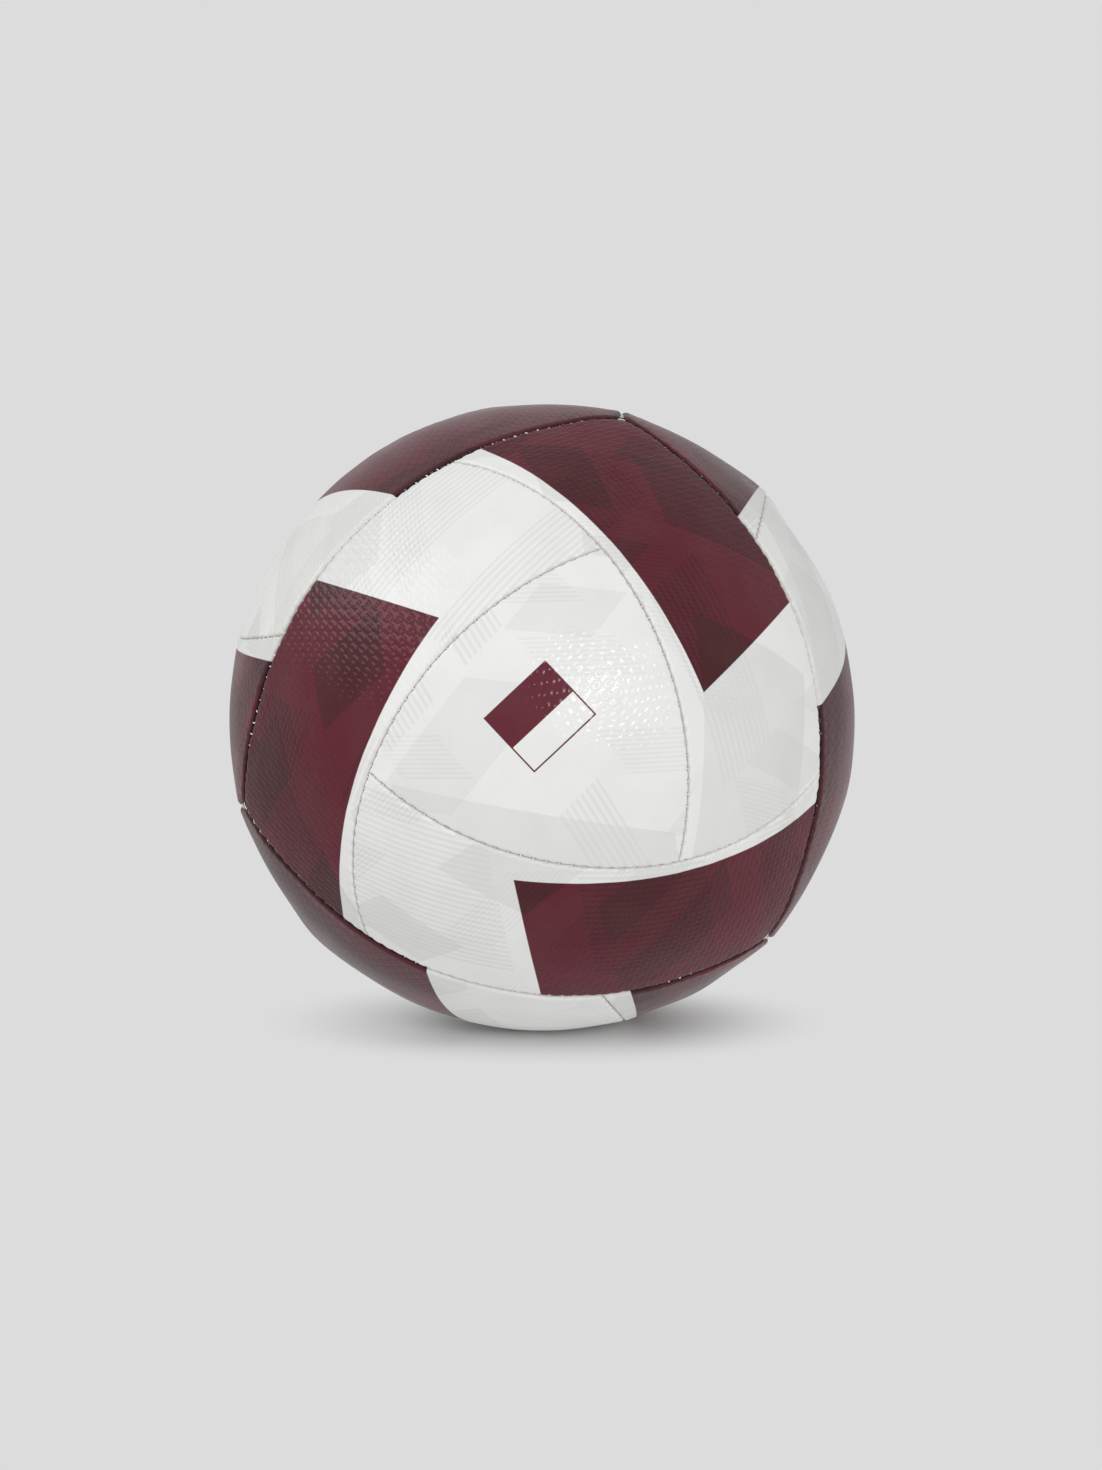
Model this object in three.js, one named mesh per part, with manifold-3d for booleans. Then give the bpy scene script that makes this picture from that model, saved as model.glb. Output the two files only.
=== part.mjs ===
// A mini football: sixteen cover panels sewn edge to edge, each on its own foam backing,
// round a rubber bladder that is pumped up through a self-sealing valve.
// Millimetres, +Z up. The origin is the centre of the ball and the front panel faces -Y.
import * as THREE from "three";
import { mergeVertices } from "three/addons/utils/BufferGeometryUtils.js";
import Module from "manifold-3d";

const wasm = await Module();
wasm.setup();

// The pumped-up shape
const ball_diameter = 144.6; // across the middles of the panels
const seam_rise = 0.4; // how far a panel stands up along its seams
const seam_reach = 10; // distance from a seam over which it rises
const corner_rise = 1.6; // how far the cover stands up where the corners of three units meet
const corner_spread = 15; // distance over which that rise dies away

// The cut of the panels, as angles seen from the centre of the ball
const arc_tilt = 39.4; // from the axis of a centre panel to the axis of a curved seam's circle
const arc_radius = 61.65; // of that circle
const arc_turn = -2; // of the curved seams about a centre panel, away from the corners of its unit

// How the ball lies, by the way its front centre panel faces, in degrees
const front_yaw = 1.5;
const front_pitch = 6;
const front_roll = -14.4;

// Cover panels, of coated synthetic leather turned in at the seams
const cover_thickness = 1.3;
const fold_radius = 1.2; // rounding of the turned-in edge
const turn_in = 2.4; // straight part of that edge, below the rounding
const seam_gap = 0.5; // between the two edges that are sewn together

// Foam backings, round on the side of the bladder
const foam_thickness = 2.4; // in the middle of a panel
const foam_gap = 0.3; // to the cover

// Bladder
const bladder_wall = 0.9;
const bladder_gap = 0.2; // to the foam and the turned-in edges

// Sewing thread, lying in the groove between two folds
const thread_diameter = 0.5;
const thread_gap = 0.2; // to each fold
const thread_end_gap = 1; // short of the seam that it runs into

// Valve, on the axis of the right-hand centre panel
const boss_diameter = 9;
const boss_recess = 0.5; // below the cover
const stem_diameter = 8;
const stem_length = 12; // inside the bladder
const flange_diameter = 19;
const patch_diameter = 24;
const patch_thickness = 0.8;
const core_diameter = 4.2;
const core_foot_diameter = 6.6;
const core_foot_height = 2;
const needle_mouth_diameter = 2.4;
const needle_tip_diameter = 1;
const needle_depth = 4;
const valve_gap = 0.3; // between the valve's pieces and round them

// Facets
const facet_length = 10.5; // about the length of a step along the sides of a panel
const fold_shares = [0, 0.35, 1]; // across a fold, from the seam inwards
const bladder_detail = 4;
const valve_sides = 20;
const dish_steps = 3; // across the domed faces of the valve
const thread_sides = 4;
const thread_step = 9.5;

// Radii of the layers, worked out from the crown inwards
const crown_radius = ball_diameter / 2;
const facet_dip = facet_length ** 2 / (4 * crown_radius); // of a flat facet below its sphere
const shoulder_radius = crown_radius + seam_rise;
const seam_floor = shoulder_radius - fold_radius - turn_in;
const foam_floor = crown_radius - cover_thickness - foam_gap - foam_thickness;
const bladder_radius = Math.min(seam_floor, foam_floor) - facet_dip - bladder_gap;

const radians = THREE.MathUtils.degToRad;
const third_turn = radians(120);

function direction(polar, azimuth) {
  return new THREE.Vector3(
    Math.sin(polar) * Math.cos(azimuth),
    Math.sin(polar) * Math.sin(azimuth),
    Math.cos(polar),
  );
}

// The four units of the ball are the faces of a tetrahedron blown up to a sphere.
// A unit is modelled round +Z, with its three corners at corner_polar from it.
const corner_polar = Math.acos(1 / 3);
const corners = [0, 1, 2].map((k) => direction(corner_polar, radians(90) + k * third_turn));

// A side of a panel is a circle on the sphere, with the panel on the pole's side of it.
const arcPole = (k) => direction(radians(arc_tilt), radians(210 + arc_turn) + k * third_turn);
const insideArc = (k) => ({ pole: arcPole(k), angle: radians(arc_radius) });
const outsideArc = (k) => ({ pole: arcPole(k).negate(), angle: Math.PI - radians(arc_radius) });
const insideEdge = (k) => ({
  pole: corners[k].clone().cross(corners[(k + 1) % 3]).normalize(),
  angle: Math.PI / 2,
});

// The point where one side hands over to the next, with both moved inwards by an angle
function meeting(side, next, inset = 0) {
  const cos_side = Math.cos(side.angle - inset);
  const cos_next = Math.cos(next.angle - inset);
  const dot = side.pole.dot(next.pole);
  const across = side.pole.clone().cross(next.pole);
  const point = side.pole
    .clone()
    .multiplyScalar(cos_side - dot * cos_next)
    .addScaledVector(next.pole, cos_next - dot * cos_side)
    .divideScalar(1 - dot * dot);
  return point.addScaledVector(across, Math.sqrt((1 - point.lengthSq()) / across.lengthSq()));
}

// The counterclockwise turn about a pole that carries one point to another
function turnBetween(pole, from, to) {
  const sine = pole.dot(from.clone().cross(to));
  const cosine = from.dot(to) - from.dot(pole) * to.dot(pole);
  return (Math.atan2(sine, cosine) + 2 * Math.PI) % (2 * Math.PI);
}

// The start of one side of a panel, moved inwards by an angle, and its turn about its pole
function sideSpan(sides, i, inset) {
  const side = sides[i];
  const start = meeting(sides.at(i - 1), side, inset);
  const end = meeting(side, sides[(i + 1) % sides.length], inset);
  return { start, turn: turnBetween(side.pole, start, end) };
}

// A panel has its sides in counterclockwise order, seen from outside the ball, and the number of
// facets along each. Opposite sides of a four-sided panel have the same number.
function panelOf(sides) {
  const lengths = sides.map((side, i) => {
    return sideSpan(sides, i, 0).turn * Math.sin(side.angle) * crown_radius;
  });
  const opposite = (i) => (sides.length === 4 ? (i + 2) % 4 : i);
  const steps = lengths.map((length, i) => {
    return Math.round(Math.max(length, lengths[opposite(i)]) / facet_length);
  });
  return { sides, steps };
}
const centre_panel = panelOf([insideArc(0), insideArc(1), insideArc(2)]);
const blade_panel = panelOf([insideArc(2), insideEdge(2), insideEdge(0), outsideArc(0)]);

// The rim of a panel moved inwards from its seams by a distance, as unit vectors
function outline(panel, distance) {
  return panel.sides.flatMap((side, i) => {
    const { start, turn } = sideSpan(panel.sides, i, distance / crown_radius);
    const steps = panel.steps[i];
    return Array.from({ length: steps }, (_, j) =>
      start.clone().applyAxisAngle(side.pole, (turn * j) / steps),
    );
  });
}

// How far the cover stands up near the corners of a unit
function cornerRise(point) {
  const away = Math.min(...corners.map((corner) => corner.angleTo(point))) * crown_radius;
  return corner_rise * Math.exp(-((away / corner_spread) ** 2));
}

// Radius of the outside of the cover at a point of a panel, before its edge is rounded
function coverRadius(panel, point) {
  const inset = Math.min(...panel.sides.map((side) => side.angle - point.angleTo(side.pole)));
  const nearness = Math.max(0, 1 - (inset * crown_radius) / seam_reach);
  return crown_radius + cornerRise(point) + seam_rise * nearness ** 2;
}

// A sum of unit vectors, each with its weight, brought back to unit length
function blend(terms) {
  const sum = new THREE.Vector3();
  terms.forEach(([weight, point]) => sum.addScaledVector(point, weight));
  return sum.normalize();
}

// Points inside a four-sided rim, blended between opposite sides, and the faces that join them.
// An index below rim.length is one of the rim's own points.
function fillFourSided(rim, [across, along]) {
  const index = (i, j) => {
    if (j === 0) return i;
    if (i === across) return across + j;
    if (j === along) return across + along + (across - i);
    if (i === 0) return rim.length - j;
    return rim.length + (j - 1) * (across - 1) + (i - 1);
  };
  const inner = [];
  for (let j = 1; j < along; j++) {
    for (let i = 1; i < across; i++) {
      const u = i / across;
      const v = j / along;
      inner.push(
        blend([
          [1 - v, rim[index(i, 0)]],
          [v, rim[index(i, along)]],
          [1 - u, rim[index(0, j)]],
          [u, rim[index(across, j)]],
          [-(1 - u) * (1 - v), rim[index(0, 0)]],
          [-u * (1 - v), rim[index(across, 0)]],
          [-(1 - u) * v, rim[index(0, along)]],
          [-u * v, rim[index(across, along)]],
        ]),
      );
    }
  }
  const faces = [];
  for (let j = 0; j < along; j++) {
    for (let i = 0; i < across; i++) {
      faces.push([index(i, j), index(i + 1, j), index(i + 1, j + 1)]);
      faces.push([index(i, j), index(i + 1, j + 1), index(i, j + 1)]);
    }
  }
  return { inner, faces };
}

// The same inside a three-sided rim with n steps on each side. A point is known by its steps
// a, b and c towards the three corners, which add up to n.
function fillThreeSided(rim, [n]) {
  const inner = [];
  const inner_index = new Map();
  const wrap = (i) => i % rim.length;
  for (let a = 1; a < n; a++) {
    for (let b = 1; a + b < n; b++) {
      const c = n - a - b;
      inner_index.set(`${a} ${b}`, rim.length + inner.length);
      inner.push(
        blend([
          [a, rim[b]],
          [a, rim[wrap(3 * n - c)]],
          [-a, rim[0]],
          [b, rim[n + c]],
          [b, rim[n - a]],
          [-b, rim[n]],
          [c, rim[wrap(2 * n + a)]],
          [c, rim[2 * n - b]],
          [-c, rim[2 * n]],
        ]),
      );
    }
  }
  const index = (a, b, c) => {
    if (c === 0) return b;
    if (a === 0) return n + c;
    if (b === 0) return wrap(2 * n + a);
    return inner_index.get(`${a} ${b}`);
  };
  const faces = [];
  for (let a = 0; a < n; a++) {
    for (let b = 0; a + b < n; b++) {
      const c = n - 1 - a - b;
      faces.push([index(a + 1, b, c), index(a, b + 1, c), index(a, b, c + 1)]);
      if (c > 0) {
        faces.push([index(a, b + 1, c), index(a + 1, b, c), index(a + 1, b + 1, c - 1)]);
      }
    }
  }
  return { inner, faces };
}

// A closed solid over a panel. Its loops run from the edge of its underside, round its rim,
// to the edge of its outside. Each has an inset from the seams and a radius at each point.
function panelGeometry(panel, loops, underside, outside) {
  const fill = panel.sides.length === 4 ? fillFourSided : fillThreeSided;
  const points = [];
  const faces = [];
  const rims = loops.map((loop) => outline(panel, loop.inset));
  const count = rims[0].length;
  const add = (point, radius) => points.push(point.clone().multiplyScalar(radius(point)));
  rims.forEach((rim, level) => rim.forEach((point) => add(point, loops[level].radius)));
  for (let level = 1; level < rims.length; level++) {
    for (let i = 0; i < count; i++) {
      const a = (level - 1) * count + i;
      const b = (level - 1) * count + ((i + 1) % count);
      faces.push([a, b, b + count], [a, b + count, a + count]);
    }
  }
  const cap = (level, radius) => {
    const filled = fill(rims[level], panel.steps);
    const first_inner = points.length;
    filled.inner.forEach((point) => add(point, radius));
    const index = (i) => (i < count ? level * count + i : first_inner + i - count);
    return filled.faces.map((face) => face.map(index));
  };
  faces.push(...cap(0, underside).map((face) => face.reverse()));
  faces.push(...cap(rims.length - 1, outside));
  const geometry = new THREE.BufferGeometry().setFromPoints(points).setIndex(faces.flat());
  geometry.computeVertexNormals();
  return geometry;
}

// A cover panel is a shallow tray: its crowned face rolls over at the seams and turns in.
function coverGeometry(panel) {
  const edge = seam_gap / 2;
  const outside = (point) => coverRadius(panel, point);
  const underside = (point) => outside(point) - cover_thickness;
  const floor = () => seam_floor;
  const fold = fold_shares.map((share) => ({
    inset: edge + share * fold_radius,
    radius: (point) => outside(point) - fold_radius * (1 - Math.sqrt(1 - (1 - share) ** 2)),
  }));
  const loops = [
    { inset: edge + cover_thickness, radius: underside },
    { inset: edge + cover_thickness, radius: floor },
    { inset: edge, radius: floor },
    ...fold,
  ];
  return panelGeometry(panel, loops, underside, outside);
}

// The foam fills that tray and is round on the side of the bladder.
function foamGeometry(panel) {
  const edge = seam_gap / 2 + cover_thickness + foam_gap;
  const floor = () => foam_floor;
  const top = (point) => coverRadius(panel, point) - cover_thickness - foam_gap;
  const loops = [
    { inset: edge, radius: floor },
    { inset: edge, radius: top },
  ];
  return panelGeometry(panel, loops, floor, top);
}

// The thread rests between the two folds of a seam, as low as its thickness lets it.
function threadRadius(point) {
  const spread = seam_gap / 2 + fold_radius;
  const reach = fold_radius + thread_gap + thread_diameter / 2;
  const lift = Math.sqrt(Math.max(0, reach ** 2 - spread ** 2));
  return shoulder_radius + cornerRise(point) - fold_radius + lift;
}

class SeamCurve extends THREE.Curve {
  constructor(pole, start, turn) {
    super();
    this.pole = pole;
    this.start = start;
    this.turn = turn;
  }
  getPoint(t, target = new THREE.Vector3()) {
    target.copy(this.start).applyAxisAngle(this.pole, this.turn * t);
    return target.multiplyScalar(threadRadius(target));
  }
}

// Thread along a circle round a pole, from one seam that it runs into to the other
function threadGeometry(pole, from, to) {
  const turn = turnBetween(pole, from, to);
  const circle_radius = crown_radius * Math.sin(from.angleTo(pole));
  const end_turn = thread_end_gap / circle_radius;
  const start = from.clone().applyAxisAngle(pole, end_turn);
  const section = new THREE.Shape(
    Array.from({ length: thread_sides }, (_, i) =>
      new THREE.Vector2(thread_diameter / 2, 0).rotateAround(
        new THREE.Vector2(),
        (2 * Math.PI * i) / thread_sides,
      ),
    ),
  );
  return new THREE.ExtrudeGeometry(section, {
    steps: Math.ceil((turn * circle_radius) / thread_step),
    extrudePath: new SeamCurve(pole, start, turn - 2 * end_turn),
  });
}

function solid(geometry) {
  const bare = geometry.clone();
  bare.deleteAttribute("normal");
  bare.deleteAttribute("uv");
  const merged = mergeVertices(bare);
  return new wasm.Manifold(
    new wasm.Mesh({
      numProp: 3,
      vertProperties: merged.attributes.position.array,
      triVerts: new Uint32Array(merged.index.array),
    }),
  );
}

function geometryOf(made) {
  const mesh = made.getMesh();
  const geometry = new THREE.BufferGeometry();
  geometry.setAttribute("position", new THREE.BufferAttribute(mesh.vertProperties, 3));
  geometry.setIndex(new THREE.BufferAttribute(mesh.triVerts, 1));
  geometry.computeVertexNormals();
  return geometry;
}

// A round hole along the axis of a unit, through everything on that side of the ball
function drilled(made, diameter) {
  const length = ball_diameter;
  const drill = new THREE.CylinderGeometry(diameter / 2, diameter / 2, length, valve_sides);
  drill.rotateX(Math.PI / 2).translate(0, 0, length / 2);
  return geometryOf(made.subtract(solid(drill)));
}

function bladderGeometry() {
  const outside = new THREE.IcosahedronGeometry(bladder_radius, bladder_detail);
  const inside = new THREE.IcosahedronGeometry(bladder_radius - bladder_wall, bladder_detail);
  return drilled(solid(outside).subtract(solid(inside)), stem_diameter + 2 * valve_gap);
}

// A piece turned about the unit's axis from a profile of radii and heights
function turned(profile) {
  const points = profile.map(([radius, height]) => new THREE.Vector2(radius, height));
  return new THREE.LatheGeometry(points, valve_sides).rotateX(Math.PI / 2);
}

// Profile points on a sphere round the centre of the ball, from one distance off the axis to another
function dish(sphere_radius, from, to) {
  return Array.from({ length: dish_steps + 1 }, (_, i) => {
    const radius = from + ((to - from) * i) / dish_steps;
    return [radius, Math.sqrt(sphere_radius ** 2 - radius ** 2)];
  });
}

// Heights of the valve's pieces, between the bladder and the cover
const boss_top = crown_radius - boss_recess;
const patch_top = crown_radius - cover_thickness - facet_dip - valve_gap;
const patch_floor = patch_top - patch_thickness;
const flange_top = patch_floor - valve_gap;
const flange_floor = bladder_radius + valve_gap;
const stem_floor = bladder_radius - stem_length;
const bore_radius = core_diameter / 2 + valve_gap;
const boss_hole = boss_diameter + 2 * valve_gap;
const foam_hole = Math.max(patch_diameter, flange_diameter) + 2 * valve_gap;

// A rubber stem through the bladder, with a flange bonded to it and a boss that shows in the cover
function valveBodyGeometry() {
  return turned([
    [bore_radius, stem_floor],
    [stem_diameter / 2, stem_floor],
    ...dish(flange_floor, stem_diameter / 2, flange_diameter / 2),
    ...dish(flange_top, flange_diameter / 2, boss_diameter / 2),
    [boss_diameter / 2, boss_top],
    [bore_radius, boss_top],
    [bore_radius, stem_floor],
  ]);
}

// A soft plug with a funnel for the pump's needle, held by a foot below the stem
function valveCoreGeometry() {
  const foot_top = stem_floor - valve_gap;
  return turned([
    [0, foot_top - core_foot_height],
    [core_foot_diameter / 2, foot_top - core_foot_height],
    [core_foot_diameter / 2, foot_top],
    [core_diameter / 2, foot_top],
    [core_diameter / 2, boss_top],
    [needle_mouth_diameter / 2, boss_top],
    [needle_tip_diameter / 2, boss_top - needle_depth],
    [0, boss_top - needle_depth],
  ]);
}

// A cloth ring that keeps the cover from tearing round the valve
function valvePatchGeometry() {
  const profile = [
    ...dish(patch_floor, boss_hole / 2, patch_diameter / 2),
    ...dish(patch_top, patch_diameter / 2, boss_hole / 2),
  ];
  return turned([...profile, profile[0]]);
}

const material = (color, roughness) =>
  new THREE.MeshStandardMaterial({ color, roughness, metalness: 0 });
const white_cover = material(0xe4e4e2, 0.4);
const maroon_cover = material(0x5d2d37, 0.4);
const foam = material(0xd6d2c6, 0.95);
const thread = material(0xecebe6, 0.8);
const bladder_rubber = material(0x1d1d1f, 0.7);
const valve_rubber = material(0x2b2b2d, 0.6);
const patch_cloth = material(0xcdc8ba, 0.95);

function piece(name, geometry, skin, parent) {
  const mesh = new THREE.Mesh(geometry, skin);
  mesh.name = name;
  parent.add(mesh);
}

const centre_cover = coverGeometry(centre_panel);
const centre_foam = foamGeometry(centre_panel);
const blade_cover = coverGeometry(blade_panel);
const blade_foam = foamGeometry(blade_panel);
const arc_start = meeting(insideArc(2), insideArc(0));
const arc_end = meeting(insideEdge(0), outsideArc(0));
const arc_thread = threadGeometry(arcPole(0), arc_start, arc_end);
const edge_thread = threadGeometry(insideEdge(0).pole, corners[0], corners[1]);

// The front unit, and the other three turned half round about the middles of its edges.
// Each edge thread is named after the two units that it joins, and is listed under the first.
const units = [
  { name: "front", edges: ["upper", "lower", "right"] },
  { name: "upper", hinge: 0, edges: [null, "right", "lower"] },
  { name: "lower", hinge: 1, edges: ["right"] },
  { name: "right", hinge: 2, edges: [], valve: true },
];

const lying = new THREE.Group();
lying.rotation.z = radians(front_roll);
const tipped = new THREE.Group();
tipped.rotation.x = radians(90 - front_pitch);
const ball = new THREE.Group();
ball.name = "mini_football";
const swung = new THREE.Group();
swung.rotation.z = radians(front_yaw);
ball.add(swung);
swung.add(tipped);
tipped.add(lying);

for (const unit of units) {
  const unit_group = new THREE.Group();
  if (unit.hinge !== undefined) {
    const edge_middle = corners[unit.hinge].clone().add(corners[(unit.hinge + 1) % 3]).normalize();
    unit_group.quaternion.setFromAxisAngle(edge_middle, Math.PI);
  }
  lying.add(unit_group);

  const cover = unit.valve ? drilled(solid(centre_cover), boss_hole) : centre_cover;
  const backing = unit.valve ? drilled(solid(centre_foam), foam_hole) : centre_foam;
  piece(`centre_panel_${unit.name}`, cover, white_cover, unit_group);
  piece(`centre_foam_${unit.name}`, backing, foam, unit_group);

  [1, 2, 3].forEach((number, k) => {
    const blade_group = new THREE.Group();
    blade_group.rotation.z = k * third_turn;
    unit_group.add(blade_group);
    piece(`blade_panel_${unit.name}_${number}`, blade_cover, maroon_cover, blade_group);
    piece(`blade_foam_${unit.name}_${number}`, blade_foam, foam, blade_group);
    piece(`blade_thread_${unit.name}_${number}`, arc_thread, thread, blade_group);
    if (unit.edges[k]) {
      piece(`edge_thread_${unit.name}_${unit.edges[k]}`, edge_thread, thread, blade_group);
    }
  });

  if (unit.valve) {
    piece("bladder", bladderGeometry(), bladder_rubber, unit_group);
    piece("valve_body", valveBodyGeometry(), valve_rubber, unit_group);
    piece("valve_core", valveCoreGeometry(), valve_rubber, unit_group);
    piece("valve_patch", valvePatchGeometry(), patch_cloth, unit_group);
  }
}

export default ball;
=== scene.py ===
from functools import partial
from math import acos, asin, cos, pi, radians, sin, sqrt

import bmesh
import bpy
import numpy as np
from mathutils import Matrix, Vector


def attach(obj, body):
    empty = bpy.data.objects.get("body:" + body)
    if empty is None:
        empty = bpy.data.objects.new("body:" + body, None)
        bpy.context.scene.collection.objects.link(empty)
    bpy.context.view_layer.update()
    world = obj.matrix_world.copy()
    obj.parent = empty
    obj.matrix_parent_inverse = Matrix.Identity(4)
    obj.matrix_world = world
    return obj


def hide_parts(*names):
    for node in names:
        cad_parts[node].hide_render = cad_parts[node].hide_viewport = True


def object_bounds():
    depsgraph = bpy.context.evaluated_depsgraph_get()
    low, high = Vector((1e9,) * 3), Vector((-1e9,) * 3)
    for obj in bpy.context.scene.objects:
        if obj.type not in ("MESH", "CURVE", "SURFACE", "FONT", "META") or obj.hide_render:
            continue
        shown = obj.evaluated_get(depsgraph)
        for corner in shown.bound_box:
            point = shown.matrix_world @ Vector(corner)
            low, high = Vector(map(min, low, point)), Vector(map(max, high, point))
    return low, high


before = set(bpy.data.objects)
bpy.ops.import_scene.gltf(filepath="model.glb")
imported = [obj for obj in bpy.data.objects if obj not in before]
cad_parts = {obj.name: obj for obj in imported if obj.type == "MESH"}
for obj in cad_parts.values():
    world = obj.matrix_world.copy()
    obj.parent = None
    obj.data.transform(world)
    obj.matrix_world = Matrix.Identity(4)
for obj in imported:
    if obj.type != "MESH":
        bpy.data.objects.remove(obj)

cad_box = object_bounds()

MM = 0.001

# The pumped-up shape
CROWN_RADIUS = 72.3 * MM
SEAM_RISE = 0.4 * MM
SEAM_REACH = 10.0 * MM
CORNER_RISE = 1.6 * MM
CORNER_SPREAD = 15.0 * MM
SHOULDER_RADIUS = CROWN_RADIUS + SEAM_RISE

# The cut of the panels and the way the ball lies
ARC_TILT = radians(39.4)
ARC_RADIUS = radians(61.65)
ARC_TURN = radians(-2)
FRONT_YAW = radians(1.5)
FRONT_PITCH = radians(6)
FRONT_ROLL = radians(-14.4)
THIRD_TURN = radians(120)
CORNER_POLAR = acos(1 / 3)
FIRST_CORNER = radians(90)
FIRST_ARC = radians(210) + ARC_TURN
UNIT_AXIS = np.array([0.0, 0.0, 1.0])
SIDEWAYS = np.array([1.0, 0.0, 0.0])
LEAST_SINE = 1e-6

# The sewn edges
COVER_THICKNESS = 1.3 * MM
SEAM_FLOOR = 69.1 * MM
RIM_GAP = 0.06 * MM
PUCKER_REACH = 0.9 * MM
PUCKER_VARIATION = 0.5
CORNER_OPENING = 0.6 * MM
CORNER_OPENING_REACH = 2.5 * MM
FLANK_SLOPE = 2.5
DIMPLE_DEPTH = 0.09 * MM
DIMPLE_REACH = 2.6 * MM
RIM_STEP = 0.34 * MM
RIM_INSETS = np.array([0, 0.04, 0.1, 0.18, 0.3, 0.45, 0.65, 0.9, 1.25, 1.7, 2.3]) * MM
FACE_INSET = 3.1 * MM
UNDERSIDE_INSET = 0.8 * MM
INNER_STEPS = 3
LEAST_INSET = 0.05 * MM
INSET_BLEND = 4.0

# The thread
STITCH_PITCH = 2.75 * MM
THREAD_THICKNESS = 0.36 * MM
THREAD_ARCH = 0.3 * MM
THREAD_SIDES = 6
STITCH_CURVE_STEPS = 6
PATH_STEPS_PER_STITCH = 6
STITCH_SLANT = radians(12)
STITCH_SLANT_SPREAD = radians(14)
STITCH_UNEVENNESS = 0.35 * MM
STITCH_UNEVENNESS_LENGTH = 16 * MM
TIGHTER_SEAMS = {"front_upper": 0.12 * MM, "front_lower": 0.1 * MM, "front_right": 0.3 * MM}

# Soft unevenness of the cover
SWELL_HEIGHT = 0.16 * MM
SWELL_LENGTH = 34 * MM
CRINKLE_HEIGHT = 0.16 * MM
CRINKLE_LENGTH = 9 * MM
CRINKLE_REACH = 5 * MM
CREASE_HEIGHT = 0.06 * MM
CREASE_WIDTH = 4.5 * MM
CREASE_STRETCH = 5
CREASE_REACH = 9 * MM
WAVE_COUNT = 9
WAVE_STRETCH = (0.7, 1.5)
WAVE_GAIN = 1.8

# Seeds of what is random. Crinkles and creases differ from panel to panel and from side to side.
SWELL_SEED = 11
STITCH_SEED = 23
STITCH_SLANT_SEED = 5
CRINKLE_SEED = 100
CREASE_SEED = 300
SEEDS_PER_PANEL = 7

# Bulges and flats of the pumped-up ball, round its outline as the camera sees it: degrees, millimetres
OUTLINE_TILT = radians(8)
BULGE_SPREAD = 9 * MM
BULGES = {
    10: -1.2, 34: -0.75, 47: 1.1, 61: 0.35, 101: 0.55,
    200: -1.05, 224: 0.95, 300: 0.85, 315: 0.85, 346: 0.5,
}

# Foam and bladder
FOAM_FLOOR = 68.3 * MM
FOAM_GAP = 0.3 * MM
FOAM_STEP = 1.8 * MM
FOAM_ROUNDING = 0.3 * MM
FOAM_FACE_INSET = 1.5 * MM
BLADDER_RADIUS = 67.72 * MM
BLADDER_WALL = 0.9 * MM
BLADDER_SIDES = 112
BLADDER_RINGS = 60

# Colour block on a blade, as circles on the ball: a white strip along its arc, then the maroon field.
# PRINT_SHIFT moves the print on from one panel to the next.
STRIP_POLAR = radians(53.86)
STRIP_AZIMUTH = radians(222.13) + ARC_TURN
STRIP_ANGLE = radians(80.52)
CUT_POLAR = radians(92.6)
CUT_AZIMUTH = radians(-32.77) + ARC_TURN
CUT_ANGLE = radians(80.8)
PRINT_SHIFT = np.array([0.31, 0.17])
FRONT_CUT_SHIFTS = np.radians([-0.8, 0.15, 0.65])

# Valve
BOSS_RADIUS = 4.5 * MM
BOSS_TOP = 71.8 * MM
BORE_RADIUS = 2.4 * MM
STEM_RADIUS = 4.0 * MM
STEM_FLOOR = 55.7 * MM
FLANGE_RADIUS = 9.5 * MM
FLANGE_TOP = 69.2 * MM
FLANGE_FLOOR = 68.0 * MM
PATCH_RADIUS = 12.0 * MM
PATCH_FLOOR = 69.5 * MM
PATCH_TOP = 70.3 * MM
CORE_RADIUS = 2.1 * MM
CORE_FOOT_RADIUS = 3.3 * MM
CORE_FOOT_HEIGHT = 2.0 * MM
NEEDLE_MOUTH_RADIUS = 1.2 * MM
NEEDLE_TIP_RADIUS = 0.5 * MM
NEEDLE_DEPTH = 4.0 * MM
VALVE_GAP = 0.3 * MM
COVER_HOLE_RADIUS = BOSS_RADIUS + VALVE_GAP
COVER_LIP_WIDTH = 1.1 * MM
COVER_LIP_DROP = 0.6 * MM
COVER_LIP_REACH = 8 * MM
COVER_LIP_CUTS = 4
HOLE_SIDES = 72
PUNCH_REACH = 10 * MM
BODY_EASE = 0.4 * MM
BODY_SIDES = 64
FLANGE_STEPS = 4
CORE_EASE = 0.3 * MM
CORE_SIDES = 48
PATCH_EASE = 0.15 * MM
PATCH_SIDES = 72
PATCH_STEPS = 8
EASE_LIMIT = 0.45
EASE_POINTS = 5


# Directions and turns

def direction(polar, azimuth):
    return np.array([
        sin(polar) * cos(azimuth),
        sin(polar) * sin(azimuth),
        cos(polar),
    ])


def unit(vectors):
    return vectors / np.linalg.norm(vectors, axis=-1, keepdims=True)


def turning(axis, angle):
    return np.array(Matrix.Rotation(angle, 3, Vector(axis)))


def angles_from(points, axis):
    return np.arccos(np.clip(points @ axis, -1, 1))


def off_axis(points, axis):
    """Distance of points from an axis, along the ball."""
    return angles_from(points, axis) * CROWN_RADIUS


def circle(radius, height, sides):
    """Points round the upright axis."""
    angles = np.linspace(0, 2 * pi, sides, endpoint=False)
    return [(radius * cos(a), radius * sin(a), height) for a in angles]


def swept(start, pole, angles):
    """The point start turned about pole by each of the angles."""
    angles = np.asarray(angles)[:, None]
    along = pole * np.dot(pole, start)
    return along + (start - along) * np.cos(angles) + np.cross(pole, start) * np.sin(angles)


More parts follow.
